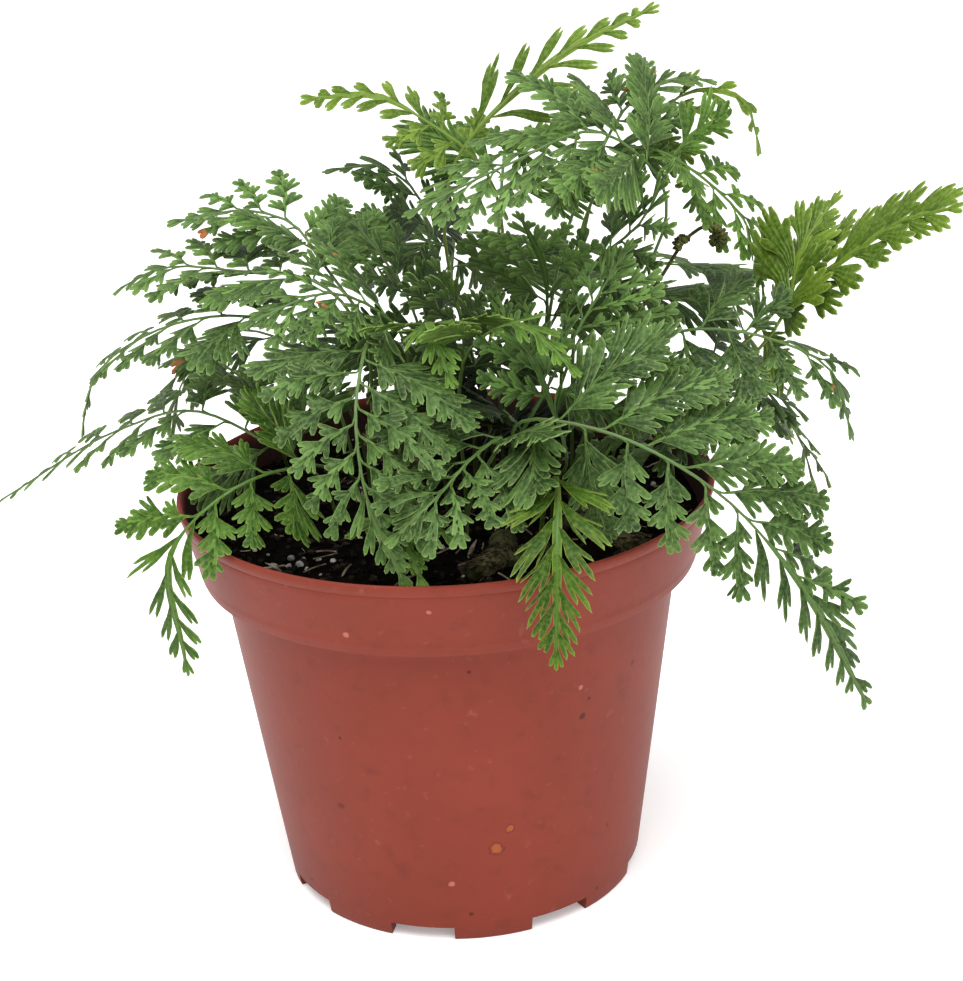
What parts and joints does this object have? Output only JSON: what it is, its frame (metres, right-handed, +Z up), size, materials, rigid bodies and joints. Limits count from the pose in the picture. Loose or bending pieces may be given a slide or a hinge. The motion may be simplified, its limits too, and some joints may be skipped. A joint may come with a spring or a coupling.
{
  "type": "potted fern",
  "caption": "Potted black rabbits foot fern: arching, finely divided green fronds over dark soil and creeping rhizomes in a round terracotta-coloured plastic nursery pot.",
  "frame": {"origin": "on the pot's axis, at the level that the pot stands on, which is also the middle of the plant's spread", "axes": "+Z up, -Y towards the viewer of the picture (the front), +X to the viewer's right"},
  "size_m": [0.1915, 0.1311, 0.1733],
  "materials": {
    "pot_plastic": "matte",
    "soil": "matte",
    "rhizome": "matte",
    "crozier": "matte",
    "leaf_mature": "satin",
    "leaf_dark": "satin",
    "leaf_fresh": "satin",
    "leaf_young": "satin",
    "leaf_light": "satin"
  },
  "bodies": {
    "root": {"pot": "pot_plastic", "soil": "soil", "rhizome_front": "rhizome", "rhizome_right": "rhizome", "rhizome_back": "rhizome", "crozier": "crozier", "frond_front_left": "leaf_mature", "frond_front_right": "leaf_mature", "frond_middle_up": "leaf_mature", "frond_front_inner": "leaf_mature", "frond_front_middle": "leaf_young", "frond_front_low": "leaf_fresh", "frond_left_front": "leaf_fresh", "frond_left_long": "leaf_mature", "frond_left_inner": "leaf_mature", "frond_inner_left": "leaf_dark", "frond_left_middle": "leaf_mature", "frond_left_upper": "leaf_mature", "frond_left_top": "leaf_mature", "frond_back_left": "leaf_dark", "frond_top_light": "leaf_light", "frond_top_young": "leaf_light", "frond_top_middle": "leaf_mature", "frond_right_top": "leaf_mature", "frond_right_curly": "leaf_light", "frond_right_arch": "leaf_fresh", "frond_right_far": "leaf_light", "frond_right_bright": "leaf_light", "frond_right_middle": "leaf_mature", "frond_right_under": "leaf_dark", "frond_middle_right": "leaf_mature", "frond_centre": "leaf_dark", "frond_inner_dark": "leaf_dark", "frond_inner_back": "leaf_dark", "frond_centre_light": "leaf_fresh", "frond_centre_left": "leaf_fresh", "frond_back_middle": "leaf_mature", "frond_back_right": "leaf_mature", "frond_back_lower_left": "leaf_mature", "frond_back_high": "leaf_fresh", "frond_back_lower_right": "leaf_mature", "frond_back_low": "leaf_fresh", "frond_inner_right": "leaf_dark", "frond_inner_front": "leaf_dark", "frond_inner_middle": "leaf_dark", "frond_inner_far_left": "leaf_dark", "frond_inner_high": "leaf_mature"}
  },
  "joints": []
}
